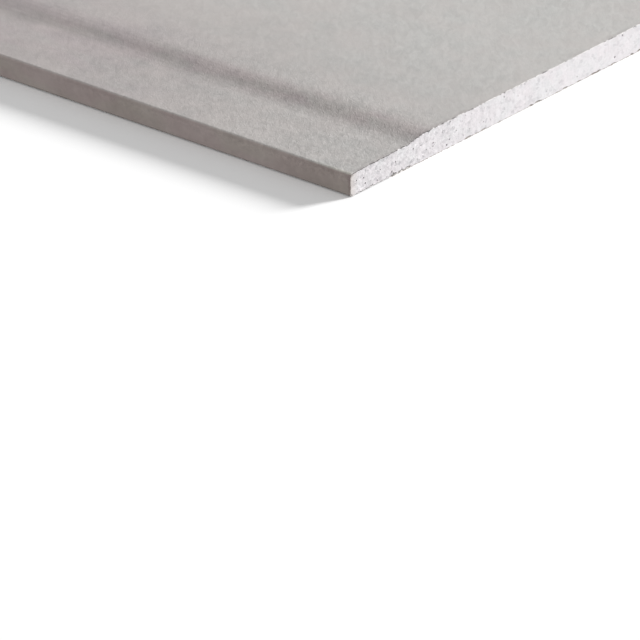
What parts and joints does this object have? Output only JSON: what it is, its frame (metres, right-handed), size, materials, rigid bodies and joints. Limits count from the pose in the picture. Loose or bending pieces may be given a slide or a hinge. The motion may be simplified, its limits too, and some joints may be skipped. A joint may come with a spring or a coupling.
{
  "type": "drywall sheet",
  "caption": "Flat rectangular gypsum board with paper on both faces, recessed long edges for joint tape, and bare sawn ends, used to line walls and ceilings.",
  "frame": {"origin": "centre of the back of the sheet, on the plane that it lies on", "axes": "+X along the length, +Y across the width, +Z from the back to the face"},
  "size_m": [2.4, 1.2, 0.0125],
  "materials": {
    "gypsum": "Set plaster, white, sawn: sugary grain with small air pits",
    "face_liner": "Smooth matt light grey recycled paper with a fine felt of fibres",
    "back_liner": "Matt grey-brown recycled kraft paper, coarser than the face"
  },
  "bodies": {
    "root": {"gypsum_core": "gypsum", "face_paper": "face_liner", "back_paper": "back_liner"}
  },
  "joints": []
}
